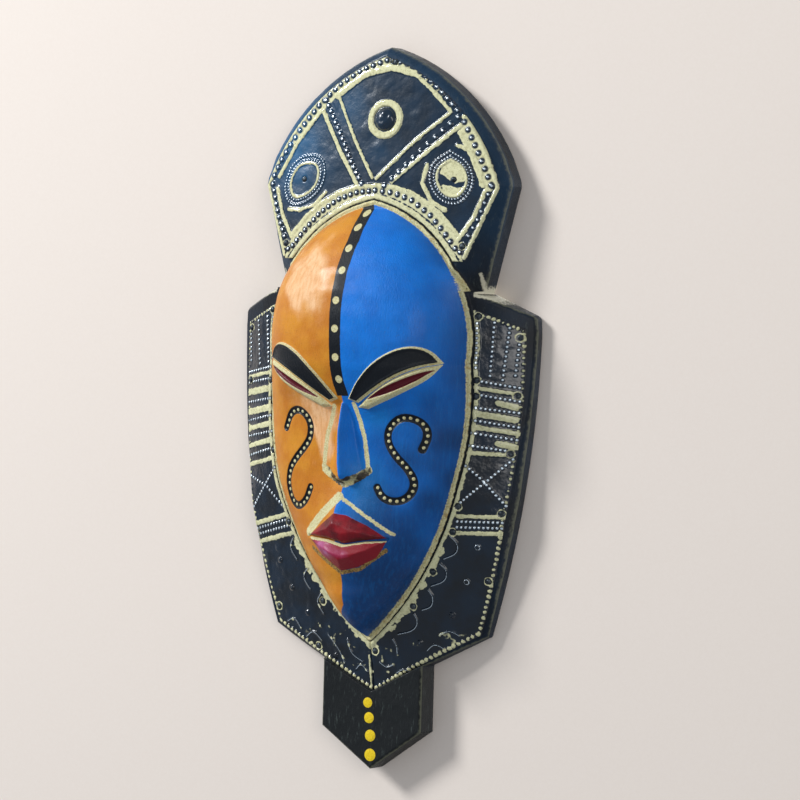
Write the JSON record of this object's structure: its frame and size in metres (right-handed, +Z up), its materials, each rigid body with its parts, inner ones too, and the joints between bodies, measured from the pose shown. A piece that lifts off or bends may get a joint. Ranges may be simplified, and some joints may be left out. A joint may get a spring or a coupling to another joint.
{
  "type": "carved wooden mask",
  "caption": "Carved wall mask with a two-colour painted face, embossed sheet-metal crown and side panels, a chin block and a hinged hanging ring sunk in its back.",
  "frame": {"origin": "where the wall's nail carries the hanging ring, on the wall plane", "axes": "+Z up along the mask, the face looks along -Y, +X to the right of someone looking at it"},
  "size_m": [0.178, 0.06, 0.38],
  "materials": {
    "painted_wood": "satin paint rubbed with cream, bare wood at the back",
    "patinated_sheet": "embossed, blue-black lacquer with cream rubbed over the raised work",
    "dark_nail": "darkened",
    "brass_strap": "satin",
    "brass_wire": "satin",
    "steel_screw": "zinc plated"
  },
  "bodies": {
    "mask": {"carved_body": "painted_wood", "crown_sheet": "patinated_sheet", "left_flank_sheet": "patinated_sheet", "right_flank_sheet": "patinated_sheet", "crown_nails": "dark_nail", "left_sheet_nails": "dark_nail", "right_sheet_nails": "dark_nail", "hanger_strap": "brass_strap", "hanger_screw": "steel_screw"},
    "ring": {"hanger_ring": "brass_wire"}
  },
  "joints": [
    {"name": "ring_hinge", "type": "hinge", "parent": "mask", "child": "ring", "pos_m": [0, -0.00415, -0.0105], "axis": [-1, 0, 0], "range_deg": [0, 150]}
  ]
}
